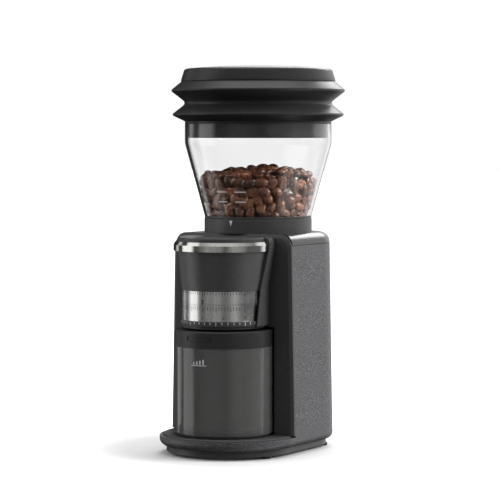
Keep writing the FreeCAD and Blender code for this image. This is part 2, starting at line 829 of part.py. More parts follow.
def cup_lid():
    """Dark lid with a deep skirt and a round hole for the grounds."""
    top = cylinder(cup_radius + 0.2, cup_lid_low_z + 0.1, cup_lid_top_z, 0, burr_y)
    top = top.makeFillet(1.2, edges_at(top, cup_lid_top_z))
    hollow = cylinder(cup_radius - 1.3, cup_lid_low_z - 1, cup_rim_z + 0.1, 0, burr_y)
    well = turned([
        (0, cup_lid_top_z + 1), (31.0, cup_lid_top_z + 1), (31.0, cup_lid_top_z - 1.0),
        (23.0, cup_rim_z + 1.2), (23.0, cup_lid_low_z), (0, cup_lid_low_z),
    ], 0, burr_y)
    label_seat = box(-11.5, 11.5, burr_y - 60, burr_y, cup_lid_low_z + 5.6, cup_lid_low_z + 9.8)
    label_seat = label_seat.common(tube(60, cup_radius - 0.4, 0, 300, 0, burr_y))
    return cut(top, [hollow, well, label_seat])


def lid_badge():
    """Slanted inlay on the front of the cup lid."""
    low = cup_lid_low_z + 5.8
    high = cup_lid_low_z + 9.6
    points = [V(-11.2, 0, low), V(8.2, 0, low), V(11.2, 0, high), V(-8.2, 0, high)]
    face = Part.Face(Part.makePolygon(points + [points[0]]))
    bar = face.extrude(V(0, 60, 0))
    bar.translate(V(0, burr_y - 60, 0))
    return bar.common(tube(cup_radius + 0.2, cup_radius - 0.3, 0, 300, 0, burr_y))


# ---- hopper and beans ---------------------------------------------------
def hopper_spigot():
    """Cup that plugs into the collar; its floor is the fixed half of the bean gate."""
    spigot = cylinder(collar_inner - running_gap, spigot_low_z, collar_top_z - 0.1, 0, hopper_y)
    cavity = cylinder(gate_radius + running_gap, spigot_low_z + 1.8, collar_top_z + 1, 0, hopper_y)
    feed = cylinder(feed_radius, spigot_low_z - 1, spigot_low_z + 3, feed_x, feed_y)
    groove = tube(collar_inner, collar_inner - 2.2, seal_low_z - 0.2, seal_low_z + 2.4, 0, hopper_y)
    return cut(spigot, [cavity, feed, groove])


def hopper_seal():
    """Rubber ring in the spigot's groove."""
    return tube(collar_inner - 0.15, collar_inner - 2.1, seal_low_z, seal_low_z + 2.2, 0, hopper_y)


def bean_gate():
    """Turning half of the bean gate: a short cup with a hole that passes the spigot's hole."""
    low = spigot_low_z + 1.8 + running_gap
    gate = cylinder(gate_radius, low, glass_low_z, 0, hopper_y)
    cavity = turned([
        (0, glass_low_z + 1), (gate_radius - 1.6, glass_low_z + 1), (gate_radius - 1.6, low + 4.0),
        (gate_radius - 4.0, low + 1.6), (0, low + 1.6),
    ], 0, hopper_y)
    return cut(gate, [cavity, cylinder(feed_radius, low - 1, low + 6, feed_x, feed_y)])


def hopper_foot():
    """Black flange under the glass that rests just over the collar."""
    return tube(glass_low_radius, gate_radius, collar_top_z + 0.3, glass_low_z, 0, hopper_y)


def glass_outline(offset, low, high):
    """Radius and height of the hopper wall, moved inwards by an offset."""
    slope = (glass_radius - glass_low_radius) / (glass_bend_z - glass_low_z)

    def radius(z):
        return min(glass_radius, glass_low_radius + slope * (z - glass_low_z)) - offset

    return [(radius(low), low), (radius(glass_bend_z), glass_bend_z), (radius(high), high)]


def hopper_glass():
    outer = glass_outline(0, glass_low_z, glass_top_z)
    inner = glass_outline(glass_wall, glass_low_z, glass_top_z)
    return turned(outer + list(reversed(inner)), 0, hopper_y)


def coffee_beans():
    """Heap of beans in the hopper, as one closed solid."""
    clear = glass_wall + 0.4
    low = glass_low_z + 0.2
    side = glass_outline(clear, low, glass_bend_z)[0][0]
    slope = (glass_radius - glass_low_radius) / (glass_bend_z - glass_low_z)
    top = 233.0
    high_side = glass_low_radius + slope * (top - glass_low_z) - clear
    heap = [(high_side * 0.55, top + 6.0), (0, top + 9.0)]
    return turned([(0, low), (side, low), (high_side, top)] + heap, 0, hopper_y)


# ---- lid ----------------------------------------------------------------
def lid_plug():
    """Ring and floor of the lid, down inside the glass, with a flange on its rim."""
    plug_low = 265.8
    inside = glass_radius - glass_wall - running_gap
    return turned([
        (0, plug_low), (inside - 0.8, plug_low), (inside, plug_low + 0.8), (inside, glass_top_z),
        (glass_radius, glass_top_z), (glass_radius, glass_top_z + 1.8), (58.0, glass_top_z + 1.8),
        (58.0, plug_low + 2.4), (0, plug_low + 2.4),
    ], 0, hopper_y)


def lid_bellows():
    """Soft bellows between plug and cap."""
    low = glass_top_z + 1.9
    high = cap_low_z - 0.1
    outer = [
        (bellows_foot_radius, low),
        (ridge_lower[0], ridge_lower[1] - 0.8), (ridge_lower[0], ridge_lower[1] + 0.8),
        ridge_valley,
        (ridge_upper[0], ridge_upper[1] - 0.8), (ridge_upper[0], ridge_upper[1] + 0.8),
        (cap_radius - 1, high),
    ]
    inner = [(r - bellows_wall * 1.8, z) for r, z in reversed(outer)]
    return turned(outer + inner, 0, hopper_y)


def lid_cap():
    """Domed cap that the hand presses."""
    thick = 3.0
    return turned([
        (0, cap_top_z - thick), (60.0, cap_top_z - thick - 2.4), (62.0, cap_low_z), (cap_radius, cap_low_z),
        (63.6, cap_top_z - 4.8), (63.0, cap_top_z - 3.2), (61.4, cap_top_z - 2.6),
        (34.0, cap_top_z - 0.6), (0, cap_top_z),
    ], 0, hopper_y)


# ---- build --------------------------------------------------------------
os.makedirs("parts", exist_ok=True)
makers = [
    body_shell, top_cover, front_panel, recess_liner, platform_deck, base_plate, rubber_feet,
    base_screws, hopper_collar, collar_floor, lock_mark, head_housing, chrome_trim, cone_cover,
    dial_window, upper_scale, head_floor, dial_scale, dial_grip, inner_burr, outer_burr, burr_carrier,
    carrier_spring, burr_shaft, feed_throat, bean_chute, outlet_spout, burr_gear, idler_gear, idler_pin,
    motor_pinion, gearbox_base, gearbox_cover, lower_bearing, motor_can, motor_shaft, motor_screws,
    cover_screws, control_board, power_inlet, switch_frame, power_rocker, cup_sensor, cup_plunger,
    cup_jar, cup_lid, lid_badge, hopper_spigot, hopper_seal, bean_gate, hopper_foot, hopper_glass,
    coffee_beans, lid_plug, lid_bellows, lid_cap,
]
for maker in makers:
    shape = maker()
    print(maker.__name__, len(shape.Solids), round(shape.Volume / 1000, 2), shape.isValid())
    save(maker.__name__, shape)
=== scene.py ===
import json
import math
import random

import bmesh
import bpy
from mathutils import Euler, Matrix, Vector


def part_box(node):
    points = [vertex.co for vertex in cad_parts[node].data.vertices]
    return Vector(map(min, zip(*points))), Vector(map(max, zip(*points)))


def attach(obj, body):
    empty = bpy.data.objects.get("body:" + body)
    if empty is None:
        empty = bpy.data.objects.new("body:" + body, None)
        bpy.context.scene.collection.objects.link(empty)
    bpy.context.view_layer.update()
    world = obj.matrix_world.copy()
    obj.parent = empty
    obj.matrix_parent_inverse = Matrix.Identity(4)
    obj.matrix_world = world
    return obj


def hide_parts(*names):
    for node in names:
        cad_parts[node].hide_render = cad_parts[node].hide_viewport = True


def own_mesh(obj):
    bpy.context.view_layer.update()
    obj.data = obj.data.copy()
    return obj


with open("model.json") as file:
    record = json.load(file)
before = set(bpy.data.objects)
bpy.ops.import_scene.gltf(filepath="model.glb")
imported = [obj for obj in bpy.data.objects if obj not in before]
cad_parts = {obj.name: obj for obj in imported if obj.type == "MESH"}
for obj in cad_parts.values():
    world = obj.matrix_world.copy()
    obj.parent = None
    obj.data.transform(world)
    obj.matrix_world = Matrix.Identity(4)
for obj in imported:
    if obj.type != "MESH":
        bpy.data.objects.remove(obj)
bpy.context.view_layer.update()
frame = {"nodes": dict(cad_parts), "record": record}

MM = 0.001


# ---- places read from the frame ------------------------------------------
def middle(node):
    low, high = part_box(node)
    return (Vector(low) + Vector(high)) / 2


def bottom(node):
    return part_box(node)[0][2]


def top(node):
    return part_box(node)[1][2]


def radius_of(node):
    low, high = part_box(node)
    return (high[0] - low[0]) / 2


BURR_AXIS = middle("cup_jar")
HOPPER_AXIS = middle("hopper_glass")
BURR_X, BURR_Y = BURR_AXIS[0], BURR_AXIS[1]
HOPPER_X, HOPPER_Y = HOPPER_AXIS[0], HOPPER_AXIS[1]
GLASS_LOW_RADIUS = radius_of("hopper_foot")
GLASS_RADIUS = radius_of("hopper_glass")
GLASS_LOW, GLASS_TOP = bottom("hopper_glass"), top("hopper_glass")
GLASS_BEND = GLASS_TOP - 16.7 * MM
GLASS_WALL = 2.4 * MM

# Room left between a turned piece and the box of the CAD piece it replaces
BOX_GAP = 0.05 * MM

# Lid: the soft bellows' outline
BELLOWS_WALL = 4.4 * MM
BELLOWS_FOOT_RADIUS = 63.0 * MM
BELLOWS_NECK_RADIUS = 65.8 * MM
LOWER_RIDGE = (73.3 * MM, 285.6 * MM)
VALLEY = (61.6 * MM, 295.6 * MM)
UPPER_RIDGE_Z = 306.2 * MM

# Coffee beans: half sizes of one bean, and the heap
BEAN_LENGTH = 6.1 * MM
BEAN_WIDTH = 4.3 * MM
BEAN_BACK = 3.7 * MM
BEAN_BELLY = 2.0 * MM
CREASE_DEPTH = 1.5 * MM
BEAN_SEED = 7
HEAP_EDGE_Z = 233.5 * MM
HEAP_RISE = 6.2 * MM
HEAP_PEAK = Vector((6 * MM, 4 * MM, 0))
HEAP_SPACING = 9.2 * MM
HEAP_RING_STEP = 7.2 * MM
# Layers behind the glass: distance from it and spacing of the beans; and the rise from row to row
GLASS_LAYERS = ((3.7 * MM, 9.4 * MM), (9.4 * MM, 10.5 * MM))
ROW_RISE = 6.3 * MM
# Dark core that the beans lie round: painted shade that shows in the gaps between the beans, standing in for
# the shade deep in the heap
CORE_TOP_Z = 231.0 * MM
CORE_GAP = GLASS_WALL + 9.5 * MM

# Printed marks: level marks on the glass (height, width; degrees round it), scale lines, numbers, dose
LEVEL_MARKS = ((220.4 * MM, 10.4 * MM), (212.0 * MM, 9.2 * MM))
LEVEL_MARK_DEGREES = (-7.0, 12.5)
PRINT_LIFT = 0.03 * MM
LINE_WIDTH = 0.5 * MM
LINE_STEP_DEGREES = 4
LONG_LINE_DEGREES = 20
GRIP_TICKS = 45
DIAL_NUMBERS = 12
NUMBER_STEP = 5
DIGIT_HEIGHT = 2.3 * MM
DIGIT_DEPTH = 0.02 * MM
DOSE_MARK_Z = 79.5 * MM

# Camera: a long lens (focal length in millimetres, on Blender's 36 mm sensor), looking slightly down
VIEW_AZIMUTH = math.radians(30.0)
VIEW_PITCH = math.radians(2.9232)
CAMERA_DISTANCE = 2.021
CAMERA_HEIGHT = 0.2725
CAMERA_SHIFT_LEFT = 7.0 * MM
FOCAL_LENGTH = 169.2

# Studio: (degrees from the camera's side with right positive, brightness seen that way)
STUDIO_BANDS = (
    (-180, 0.03), (-141, 0.03), (-137, 0.60), (-128, 0.60), (-124, 0.06), (-111, 0.06), (-106, 1.20),
    (-80, 1.25), (-71, 0.05), (-60, 0.10), (-38, 0.30), (-8, 0.24), (4, 0.10), (22, 0.34), (42, 0.28),
    (58, 0.12), (92, 0.14), (104, 0.95), (160, 1.00), (172, 0.30), (180, 0.10),
)
# The same for directions that point well below the horizon
BELOW_BANDS = (
    (-180, 0.03), (-60, 0.05), (40, 0.05), (56, 1.30), (88, 1.50), (102, 0.10), (180, 0.03),
)
OVERHEAD_LEVEL = 0.7
# Heights of a direction (its z) between which one set goes over into the next
BELOW_TO_LEVEL = (-0.37, -0.30)
LEVEL_TO_OVERHEAD = (0.55, 0.95)
WHITE = (1, 1, 1, 1)
# Floor: half its side, and the distances from the middle between which its glow comes in; inside the first
# it has no glow, which paints a darker shade round the object's foot
FLOOR_HALF = 12.0
FLOOR_PAINTED_SHADE_RADIUS = 0.10
FLOOR_GLOW_FULL = 0.21

# Lamps: name, place, width, height, watts, and whether glossy surfaces mirror it
LAMP_TARGET = (0, 0, 0.15)
LAMPS = (
    ("key_right", (1.1, 0.55, 0.9), 0.4, 0.9, 13, False),
    ("side_right", (1.6, 0.05, 0.7), 0.5, 0.9, 7, False),
    ("top_soft", (-0.1, 0.1, 1.9), 1.5, 1.5, 12, True),
    ("rim_back", (-0.23, 1.28, 1.0), 1.2, 0.6, 10, True),
    ("left_high", (-0.9, -0.9, 1.0), 0.6, 0.6, 4, False),
)


# ---- material helpers ----------------------------------------------------
class Graph:
    """A node tree with short calls that add nodes to it."""

    def __init__(self, tree):
        self.tree = tree

    def add(self, kind, **values):
        node = self.tree.nodes.new(kind)
        for key, value in values.items():
            if key in node.inputs:
                node.inputs[key].default_value = value
            else:
                setattr(node, key, value)
        return node

    def link(self, source, target):
        self.tree.links.new(source, target)

    def combine(self, operation, *sources):
        """The result of a Math node fed by the given outputs and numbers."""
        node = self.add("ShaderNodeMath", operation=operation)
        for source, socket in zip(sources, node.inputs):
            if isinstance(source, (int, float)):
                socket.default_value = source
            else:
                self.link(source, socket)
        return node.outputs[0]

    def mix(self, share, first, second):
        """Colour that goes from the first to the second as the share goes from 0 to 1."""
        node = self.add("ShaderNodeMix", data_type="RGBA")
        self.link(share, node.inputs[0])
        self.link(first, node.inputs[6])
        self.link(second, node.inputs[7])
        return node.outputs[2]

    def ramp(self, value, stops):
        node = self.add("ShaderNodeValToRGB")
        elements = node.color_ramp.elements
        while len(elements) < len(stops):
            elements.new(0.5)
        for element, (position, colour) in zip(elements, stops):
            element.position = position
            element.color = (*colour, 1.0)
        self.link(value, node.inputs["Fac"])
        return node.outputs["Color"]

    def spread(self, value, low, high):
        """Takes a value from 0 to 1 to the range from low to high."""
        node = self.add("ShaderNodeMapRange")
        node.inputs["To Min"].default_value = low
        node.inputs["To Max"].default_value = high
        self.link(value, node.inputs["Value"])
        return node.outputs["Result"]

    def smooth_step(self, value, start, end):
        """Goes smoothly from 0 to 1 as the value goes from start to end."""
        node = self.add("ShaderNodeMapRange", interpolation_type="SMOOTHSTEP")
        node.inputs["From Min"].default_value = start
        node.inputs["From Max"].default_value = end
        self.link(value, node.inputs["Value"])
        return node.outputs["Result"]


class Surface(Graph):
    """A material with its shader and the patterns that its surface is made of."""

    def __init__(self, name):
        self.material = bpy.data.materials.new(name)
        self.material.use_nodes = True
        super().__init__(self.material.node_tree)
        self.shader = self.tree.nodes["Principled BSDF"]

    def set(self, **values):
        for key, value in values.items():
            self.shader.inputs[key.replace("_", " ")].default_value = value

    def feed(self, source, socket):
        self.link(source, self.shader.inputs[socket])

    def place(self):
        return self.add("ShaderNodeTexCoord").outputs["Object"]

    def noise(self, scale, detail=3.0, roughness=0.5, vector=None):
        node = self.add("ShaderNodeTexNoise", Scale=scale, Detail=detail, Roughness=roughness)
        self.link(vector or self.place(), node.inputs["Vector"])
        return node.outputs["Fac"]

    def stretched(self, x, y, z):
        node = self.add("ShaderNodeMapping")
        node.inputs["Scale"].default_value = (x, y, z)
        self.link(self.place(), node.inputs["Vector"])
        return node.outputs["Vector"]

    def bump(self, height, strength, distance, before=None):
        node = self.add("ShaderNodeBump", Strength=strength, Distance=distance)
        self.link(height, node.inputs["Height"])
        if before:
            self.link(before, node.inputs["Normal"])
        self.feed(node.outputs["Normal"], "Normal")
        return node.outputs["Normal"]


def grained(name, dark, light, rough, grain, depth, specular=0.5, metallic=0.0):
    """Moulded surface: a fine grain in height and colour, and slow uneven gloss over it."""
    m = Surface(name)
    fine = m.noise(grain, 2.0, 0.6)
    slow = m.noise(14.0, 3.0)
    m.feed(m.ramp(fine, [(0.35, dark), (0.68, light)]), "Base Color")
    m.feed(m.spread(slow, rough - 0.05, rough + 0.06), "Roughness")
    m.set(Specular_IOR_Level=specular, Metallic=metallic)
    m.bump(fine, 0.5, depth)
    return m.material


def grey(value):
    return (value, value, value * 1.01)


def shell_material():
    """Grey paint with a fine metallic sparkle."""
    m = Surface("grey_shell")
    fleck = m.noise(1300.0, 3.0, 0.75)
    broad = m.noise(700.0, 2.0, 0.6)
    slow = m.noise(9.0, 2.0)
    flakes = [(0.36, (0.035, 0.035, 0.037)), (0.52, (0.105, 0.105, 0.111)), (0.66, (0.33, 0.33, 0.34))]
    m.feed(m.ramp(fleck, flakes), "Base Color")
    m.feed(m.spread(slow, 0.42, 0.52), "Roughness")
    m.set(Metallic=0.35, Specular_IOR_Level=0.5)
    first = m.bump(fleck, 0.5, 0.0002)
    m.bump(broad, 0.25, 0.0002, first)
    return m.material


def shoulder_material():
    """Black moulding with a low sheen that picks up the light along its rounding."""
    m = Surface("shoulder_black")
    fine = m.noise(1800.0, 2.0)
    slow = m.noise(22.0, 3.0)
    tones = [(0.3, (0.012, 0.012, 0.014)), (0.7, (0.020, 0.020, 0.023))]
    m.feed(m.ramp(fine, tones), "Base Color")
    m.feed(m.spread(slow, 0.24, 0.34), "Roughness")
    m.set(Specular_IOR_Level=0.75, Coat_Weight=0.3, Coat_Roughness=0.25)
    m.bump(fine, 0.3, 0.00006)
    return m.material


def chrome_material():
    m = Surface("chrome")
    fine = m.noise(400.0, 2.0)
    m.feed(m.ramp(fine, [(0.3, (0.66, 0.65, 0.62)), (0.7, (0.76, 0.75, 0.72))]), "Base Color")
    m.feed(m.spread(fine, 0.06, 0.12), "Roughness")
    m.set(Metallic=1.0)
    return m.material


def scale_metal_material():
    """Turned metal: fine rings from the lathe, and soft upright bands of painted reflection, light and dark,
    in its colour.
    """
    m = Surface("scale_metal")
    rings = m.noise(1.0, 2.0, 0.6, m.stretched(60.0, 60.0, 9000.0))
    bands = m.noise(1.0, 2.0, 0.6, m.stretched(130.0, 130.0, 2.0))
    # Painted reflection: upright light and dark bands in the base colour stand in for the studio mirrored in
    # the turned rings.
    m.feed(m.ramp(bands, [(0.34, (0.60, 0.60, 0.59)), (0.64, (0.95, 0.94, 0.92))]), "Base Color")
    m.feed(m.spread(rings, 0.18, 0.28), "Roughness")
    m.set(Metallic=1.0, Anisotropic=0.5)
    m.bump(rings, 0.25, 0.00004)
    return m.material


def clear_material(name, colour, rough, ior, see_through=1.0):
    m = Surface(name)
    slow = m.noise(30.0, 2.0)
    m.feed(m.ramp(slow, [(0.3, [c * 0.985 for c in colour]), (0.7, colour)]), "Base Color")
    m.feed(m.spread(slow, rough, rough + 0.02), "Roughness")
    m.set(Transmission_Weight=see_through, IOR=ior)
    return m.material


def machined_material(name, colour, rough, metallic=1.0):
    m = Surface(name)
    lines = m.noise(1.0, 3.0, 0.6, m.stretched(900.0, 900.0, 5000.0))
    m.feed(m.ramp(lines, [(0.3, [c * 0.8 for c in colour]), (0.7, colour)]), "Base Color")
    m.feed(m.spread(lines, rough - 0.06, rough + 0.08), "Roughness")
    m.set(Metallic=metallic)
    m.bump(lines, 0.2, 0.00003)
    return m.material


def bean_material():
    """Roasted bean: each bean its own brown, mottled, with an oily shine."""
    m = Surface("roasted_beans")
    each = m.add("ShaderNodeNewGeometry").outputs["Random Per Island"]
    browns = [(0.0, (0.060, 0.020, 0.010)), (0.5, (0.150, 0.054, 0.024)), (1.0, (0.290, 0.112, 0.048))]
    own = m.ramp(each, browns)
    mottle = m.noise(420.0, 4.0, 0.6)
    mix = m.add("ShaderNodeMix", data_type="RGBA", blend_type="MULTIPLY")
    mix.inputs[0].default_value = 0.75
    m.link(own, mix.inputs[6])
    m.link(m.ramp(mottle, [(0.3, (0.35, 0.32, 0.30)), (0.7, (1.3, 1.25, 1.2))]), mix.inputs[7])
    m.feed(mix.outputs[2], "Base Color")
    m.feed(m.spread(mottle, 0.20, 0.36), "Roughness")
    m.set(Specular_IOR_Level=0.7, Coat_Weight=0.3, Coat_Roughness=0.15)
    m.bump(mottle, 0.35, 0.0002)
    return m.material


def board_material():
    """Circuit board: green with lighter tracks."""
    m = Surface("circuit_board")
    tracks = m.noise(160.0, 4.0, 0.7)
    m.feed(m.ramp(tracks, [(0.45, (0.01, 0.10, 0.04)), (0.55, (0.03, 0.22, 0.09))]), "Base Color")
    m.feed(m.spread(tracks, 0.3, 0.5), "Roughness")
    return m.material


def print_material(name, colour):
    m = Surface(name)
    fine = m.noise(1500.0, 2.0)
    m.feed(m.ramp(fine, [(0.3, [c * 0.9 for c in colour]), (0.7, colour)]), "Base Color")
    m.feed(m.spread(fine, 0.4, 0.55), "Roughness")
    return m.material


MATERIALS = {
    "grey_shell": shell_material(),
    "shoulder_black": shoulder_material(),
    "panel_black": grained("panel_black", grey(0.052), grey(0.074), 0.42, 1300.0, 0.00008, 0.45),
    "cone_satin": grained("cone_satin", grey(0.050), grey(0.100), 0.34, 1700.0, 0.00014, 0.9, 0.15),
    "chrome": chrome_material(),
    "scale_metal": scale_metal_material(),
    "clear_window": clear_material("clear_window", (0.97, 0.97, 0.97), 0.0, 1.3),
    "hopper_clear": clear_material("hopper_clear", (0.985, 0.985, 0.985), 0.0, 1.4),
    "cup_smoke": clear_material("cup_smoke", (0.50, 0.50, 0.49), 0.01, 1.45, 0.82),
    "cup_lid_black": grained("cup_lid_black", grey(0.024), grey(0.034), 0.4, 1500.0, 0.00005, 0.45),
    "lid_rubber": grained("lid_rubber", grey(0.025), grey(0.041), 0.34, 1300.0, 0.0001, 0.28),
    "seal_rubber": grained("seal_rubber", grey(0.018), grey(0.028), 0.6, 900.0, 0.0001, 0.4),
    "white_mark": print_material("white_mark", (0.85, 0.85, 0.85)),
    "roasted_beans": bean_material(),
    "steel": machined_material("steel", (0.62, 0.61, 0.60), 0.3),
    "motor_zinc": machined_material("motor_zinc", (0.50, 0.50, 0.52), 0.4),
    "gear_plastic": grained("gear_plastic", (0.66, 0.64, 0.58), (0.74, 0.72, 0.66), 0.45, 500.0, 0.00005),
    "inner_plastic": grained("inner_plastic", grey(0.025), grey(0.04), 0.5, 800.0, 0.00008),
    "circuit_board": board_material(),
    "bean_shadow": grained(
        "bean_shadow", (0.012, 0.005, 0.003), (0.03, 0.012, 0.007), 0.6, 300.0, 0.0004
    ),
    "scale_line": print_material("scale_line", (0.008, 0.008, 0.008)),
}


def dress_nodes():
    """Gives each carried-over CAD node its slot's material."""
    slot_of = {part["node"]: part["material_slot"] for part in frame["record"]["subparts"]}
    for name, node in frame["nodes"].items():
        for slot in node.material_slots:
            slot.material = MATERIALS[slot_of[name]]


# ---- mesh helpers --------------------------------------------------------
def new_object(name, vertices, faces, material, smooth=True):
    mesh = bpy.data.meshes.new(name)
    mesh.from_pydata([tuple(v) for v in vertices], [], faces)
    mesh.validate()
    mesh.update()
    if smooth:
        mesh.polygons.foreach_set("use_smooth", [True] * len(mesh.polygons))
    mesh.materials.append(material)
    piece = bpy.data.objects.new(name, mesh)
    bpy.context.scene.collection.objects.link(piece)
    return piece


def mount(piece, body, slot, *replaced):
    """Lets a piece ride on a body, in place of the CAD nodes named."""
    if replaced:
        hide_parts(*replaced)
    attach(piece, body)


def rounded(points, radius, steps=5):
    """A closed (radius, height) outline with each listed corner rounded; points are (r, z, rounding)."""
    outline = []
    count = len(points)
    for i, (r, z, share) in enumerate(points):
        here = Vector((r, z))
        if share == 0:
            outline.append(here)
            continue
        before = Vector(points[i - 1][:2])
        after = Vector(points[(i + 1) % count][:2])
        cut_back = min(radius * share, (before - here).length * 0.48, (after - here).length * 0.48)
        start = here + (before - here).normalized() * cut_back
        end = here + (after - here).normalized() * cut_back
        for k in range(steps + 1):
            t = k / steps
            outline.append(start * (1 - t) ** 2 + here * 2 * t * (1 - t) + end * t ** 2)
    return outline


def lathe(name, outline, x, y, material, segments=128):
    """Turns a closed (radius, height) outline into a solid of revolution about x, y."""
    vertices = []
    faces = []
    rows = len(outline)
    for i in range(segments):
        angle = 2 * math.pi * i / segments
        for r, z in outline:
            vertices.append((x + r * math.cos(angle), y + r * math.sin(angle), z))
    for i in range(segments):
        j = (i + 1) % segments
        for k in range(rows):
            n = (k + 1) % rows
            if outline[k][0] == 0 and outline[n][0] == 0:
                continue
            faces.append((i * rows + k, j * rows + k, j * rows + n, i * rows + n))
    piece = new_object(name, vertices, faces, material)
    merge_close(piece)
    return piece


def merge_close(piece):
    """Merges the points that fall together on the axis and turns all faces outward."""
    work = bmesh.new()
    work.from_mesh(piece.data)
    bmesh.ops.remove_doubles(work, verts=work.verts, dist=1e-6)
    bmesh.ops.recalc_face_normals(work, faces=work.faces)
    work.to_mesh(piece.data)
    work.free()
    piece.data.polygons.foreach_set("use_smooth", [True] * len(piece.data.polygons))


def curved_patch(x, y, radius, angle, z, width, height, lift, depth, columns=6):
    """Vertices and faces of a small bar bent round an upright cylinder; angle 0 is the front."""
    vertices = []
    for r in (radius - depth, radius + lift):
        for k in range(columns + 1):
            a = angle + (k / columns - 0.5) * width / radius
            for level in (z - height / 2, z + height / 2):
                vertices.append((x + r * math.sin(a), y - r * math.cos(a), level))
    half = 2 * (columns + 1)
    faces = []
    for k in range(columns):
        a, b, c, d = 2 * k, 2 * k + 1, 2 * k + 3, 2 * k + 2
        faces.append((half + a, half + d, half + c, half + b))
        faces.append((a, b, c, d))
        faces.append((b, half + b, half + c, c))
        faces.append((a, d, half + d, half + a))
    last = 2 * columns
    faces.append((0, half, half + 1, 1))
    faces.append((last, last + 1, half + last + 1, half + last))
    return vertices, faces


def join_patches(name, patches, material):
    """One piece out of many patches of (vertices, faces)."""
    vertices = []
    faces = []
    for own_vertices, own_faces in patches:
        base = len(vertices)
        vertices.extend(own_vertices)
        faces.extend([tuple(base + i for i in face) for face in own_faces])
    return new_object(name, vertices, faces, material, smooth=False)


# ---- lid -----------------------------------------------------------------
def ridge(crest):
    """The two corners that round off a ridge at this (radius, height)."""
    r, z = crest
    return (r, z - 0.7 * MM, 0.5), (r, z + 0.9 * MM, 0.8)


def build_lid():
    """Soft bellows with two rounded ridges and the domed cap that presses them."""
    low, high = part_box("lid_bellows")
    upper_ridge = (high[0] - BOX_GAP, UPPER_RIDGE_Z)
    outer = [
        (BELLOWS_FOOT_RADIUS, low[2], 0.2), *ridge(LOWER_RIDGE), (*VALLEY, 2.6), *ridge(upper_ridge),
        (BELLOWS_NECK_RADIUS, high[2], 0.2),
    ]
    inner = [(r - BELLOWS_WALL, z, share) for r, z, share in reversed(outer)]
    bellows = lathe(
        "bellows", rounded(outer + inner, 1.6 * MM), HOPPER_X, HOPPER_Y, MATERIALS["lid_rubber"], 160
    )
    mount(bellows, "lid", "lid_rubber", "lid_bellows")
    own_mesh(bellows)
    cap_low, cap_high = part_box("lid_cap")
    rim = cap_high[0] - BOX_GAP
    floor, dome = cap_low[2], cap_high[2]
    outline = rounded([
        (0, dome, 0), (36 * MM, dome - 0.7 * MM, 8), (60.6 * MM, dome - 2.5 * MM, 1.2),
        (63.4 * MM, dome - 3.4 * MM, 1.4), (rim - 0.3 * MM, floor + 1.6 * MM, 0.6), (rim, floor, 0.3),
        (62 * MM, floor, 0.3), (60 * MM, dome - 5.6 * MM, 0.8), (0, dome - 3 * MM, 0),
    ], 1.5 * MM)
    cap = lathe("cap", outline, HOPPER_X, HOPPER_Y, MATERIALS["lid_rubber"], 160)
    mount(cap, "lid_top", "lid_rubber", "lid_cap")


# ---- hopper --------------------------------------------------------------
def glass_radius(z):
    """Outer radius of the glass at this height."""
    slope = (GLASS_RADIUS - GLASS_LOW_RADIUS) / (GLASS_BEND - GLASS_LOW)
    return min(GLASS_RADIUS, GLASS_LOW_RADIUS + slope * (z - GLASS_LOW))


def build_glass():
    """Clear wall of the hopper, open below and above, and the white level marks on it."""
    outer = [
        (GLASS_LOW_RADIUS, GLASS_LOW, 0.4), (GLASS_RADIUS, GLASS_BEND, 2.2), (GLASS_RADIUS, GLASS_TOP, 0.4),
    ]
    inner = [(r - GLASS_WALL, z, share) for r, z, share in reversed(outer)]
    glass = lathe("hopper_wall", rounded(outer + inner, 1.2 * MM, 6), HOPPER_X, HOPPER_Y,
                  MATERIALS["hopper_clear"], 160)
    glass.visible_shadow = False
    mount(glass, "hopper", "hopper_clear", "hopper_glass")
    marks = []
    for z, width in LEVEL_MARKS:
        for degrees in LEVEL_MARK_DEGREES:
            marks.append(curved_patch(
                HOPPER_X, HOPPER_Y, glass_radius(z), math.radians(degrees), z, width, 0.75 * MM,
                0.15 * MM, 0.15 * MM,
            ))
    level = join_patches("level_marks", marks, MATERIALS["white_mark"])
    mount(level, "hopper", "white_mark")


def bean_shape(columns=18, rows=12):
    """One roasted bean lying on its flat side: a domed back and a curved crease below."""
    vertices = [Vector((BEAN_LENGTH, 0, 0))]
    for row in range(1, rows):
        along = math.cos(math.pi * row / rows)
        girth = math.sin(math.pi * row / rows) ** 0.85
        for column in range(columns):
            turn = 2 * math.pi * column / columns
            side = girth * math.cos(turn)
            high = girth * math.sin(turn)
            height = high * (BEAN_BACK if high > 0 else BEAN_BELLY)
            if high < 0:
                offset = side - 0.12 * math.sin(along * 2.6)
                height += CREASE_DEPTH * math.exp(-((offset / 0.16) ** 2)) * (1 - along ** 2)
            vertices.append(Vector((BEAN_LENGTH * along, BEAN_WIDTH * side, height)))
    vertices.append(Vector((-BEAN_LENGTH, 0, 0)))
    faces = []
    for column in range(columns):
        after = (column + 1) % columns
        faces.append((0, 1 + column, 1 + after))
        for row in range(rows - 2):
            a = 1 + row * columns
            b = a + columns
            faces.append((a + column, b + column, b + after, a + after))
        base = 1 + (rows - 2) * columns
        faces.append((len(vertices) - 1, base + after, base + column))
    return vertices, faces


